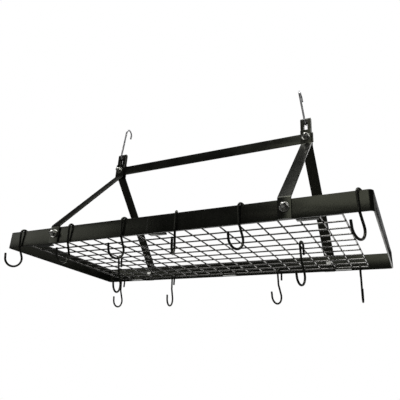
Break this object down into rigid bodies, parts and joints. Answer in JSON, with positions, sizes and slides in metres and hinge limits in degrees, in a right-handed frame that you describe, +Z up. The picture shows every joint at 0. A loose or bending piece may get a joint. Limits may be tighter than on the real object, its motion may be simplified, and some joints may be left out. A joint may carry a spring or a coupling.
{
  "type": "hanging pot rack",
  "caption": "Rectangular flat-bar frame with a lift-out wire grid, hung by strap hangers and a crossbar from wire ceiling hooks, with S-shaped pot hooks.",
  "frame": {"origin": "midway between the two points where the wire ceiling hooks hang from the ceiling", "axes": "+X along the long rails to the right, +Y from the front rail to the rear rail, +Z up"},
  "size_m": [0.838, 0.4644, 0.4981],
  "materials": {
    "satin_black_bar": "satin black powder coat on flat steel bar",
    "black_wire": "smooth semi-gloss black coat on round steel wire",
    "bright_chrome": "bright chrome plate",
    "zinc_plated_wire": "bright plated steel wire"
  },
  "bodies": {
    "ceiling_hooks": {"ceiling_hook_left": "zinc_plated_wire", "ceiling_hook_right": "zinc_plated_wire"},
    "grid": {"wire_grid": "black_wire"},
    "rack": {"apex_bolt_left": "bright_chrome", "apex_bolt_right": "bright_chrome", "apex_cap_nut_left": "bright_chrome", "apex_cap_nut_right": "bright_chrome", "apex_washer_left": "bright_chrome", "apex_washer_right": "bright_chrome", "crossbar": "satin_black_bar", "frame": "satin_black_bar", "hanger_bracket_left": "satin_black_bar", "hanger_bracket_right": "satin_black_bar", "rail_bolt_front_left": "bright_chrome", "rail_bolt_front_right": "bright_chrome", "rail_bolt_rear_left": "bright_chrome", "rail_bolt_rear_right": "bright_chrome", "rail_cap_nut_front_left": "bright_chrome", "rail_cap_nut_front_right": "bright_chrome", "rail_cap_nut_rear_left": "bright_chrome", "rail_cap_nut_rear_right": "bright_chrome", "rail_washer_front_left": "bright_chrome", "rail_washer_front_right": "bright_chrome", "rail_washer_rear_left": "bright_chrome", "rail_washer_rear_right": "bright_chrome", "strap_front_left": "satin_black_bar", "strap_front_right": "satin_black_bar", "strap_rear_left": "satin_black_bar", "strap_rear_right": "satin_black_bar", "tab_front_left": "satin_black_bar", "tab_front_middle": "satin_black_bar", "tab_front_right": "satin_black_bar", "tab_rear_left": "satin_black_bar", "tab_rear_middle": "satin_black_bar", "tab_rear_right": "satin_black_bar"},
    "rail_hook_1": {"rail_hook_1": "black_wire"},
    "rail_hook_2": {"rail_hook_2": "black_wire"},
    "rail_hook_3": {"rail_hook_3": "black_wire"},
    "rail_hook_4": {"rail_hook_4": "black_wire"},
    "rail_hook_5": {"rail_hook_5": "black_wire"},
    "rail_hook_6": {"rail_hook_6": "black_wire"},
    "grid_hook_1": {"grid_hook_1": "black_wire"},
    "grid_hook_2": {"grid_hook_2": "black_wire"},
    "grid_hook_3": {"grid_hook_3": "black_wire"},
    "grid_hook_4": {"grid_hook_4": "black_wire"},
    "grid_hook_5": {"grid_hook_5": "black_wire"},
    "grid_hook_6": {"grid_hook_6": "black_wire"}
  },
  "joints": [
    {"name": "rack_sway", "type": "hinge", "parent": "ceiling_hooks", "child": "rack", "pos_m": [0, 0, -0.08397], "axis": [1, 0, 0], "range_deg": [-15, 15]},
    {"name": "grid_lift", "type": "slide", "parent": "rack", "child": "grid", "axis": [0, 0, 1], "range_m": [0, 0.03]},
    {"name": "rail_hook_1_travel", "type": "slide", "parent": "rack", "child": "rail_hook_1", "axis": [1, 0, 0], "range_m": [-0.03, 0.082]},
    {"name": "rail_hook_2_travel", "type": "slide", "parent": "rack", "child": "rail_hook_2", "axis": [1, 0, 0], "range_m": [-0.026, 0.068]},
    {"name": "rail_hook_3_travel", "type": "slide", "parent": "rack", "child": "rail_hook_3", "axis": [1, 0, 0], "range_m": [-0.057, 0.055]},
    {"name": "rail_hook_4_travel", "type": "slide", "parent": "rack", "child": "rail_hook_4", "axis": [1, 0, 0], "range_m": [-0.055, 0.052]},
    {"name": "rail_hook_5_travel", "type": "slide", "parent": "rack", "child": "rail_hook_5", "axis": [1, 0, 0], "range_m": [-0.051, 0.062]},
    {"name": "rail_hook_6_travel", "type": "slide", "parent": "rack", "child": "rail_hook_6", "axis": [1, 0, 0], "range_m": [-0.105, 0.006]},
    {"name": "grid_hook_1_swing", "type": "hinge", "parent": "grid", "child": "grid_hook_1", "pos_m": [-0.3598, 0.192, -0.40362], "axis": [1, 0, 0], "range_deg": [-25, 0]},
    {"name": "grid_hook_2_swing", "type": "hinge", "parent": "grid", "child": "grid_hook_2", "pos_m": [-0.205, -0.0384, -0.40362], "axis": [1, 0, 0], "range_deg": [-20, 20]},
    {"name": "grid_hook_3_swing", "type": "hinge", "parent": "grid", "child": "grid_hook_3", "pos_m": [-0.179, 0.192, -0.40362], "axis": [1, 0, 0], "range_deg": [-25, 0]},
    {"name": "grid_hook_4_swing", "type": "hinge", "parent": "grid", "child": "grid_hook_4", "pos_m": [0.143, 0.192, -0.40362], "axis": [1, 0, 0], "range_deg": [-25, 0]},
    {"name": "grid_hook_5_swing", "type": "hinge", "parent": "grid", "child": "grid_hook_5", "pos_m": [0.258, -0.0384, -0.40362], "axis": [1, 0, 0], "range_deg": [-20, 20]},
    {"name": "grid_hook_6_swing", "type": "hinge", "parent": "grid", "child": "grid_hook_6", "pos_m": [0.345, 0.192, -0.40362], "axis": [1, 0, 0], "range_deg": [-25, 0]}
  ]
}
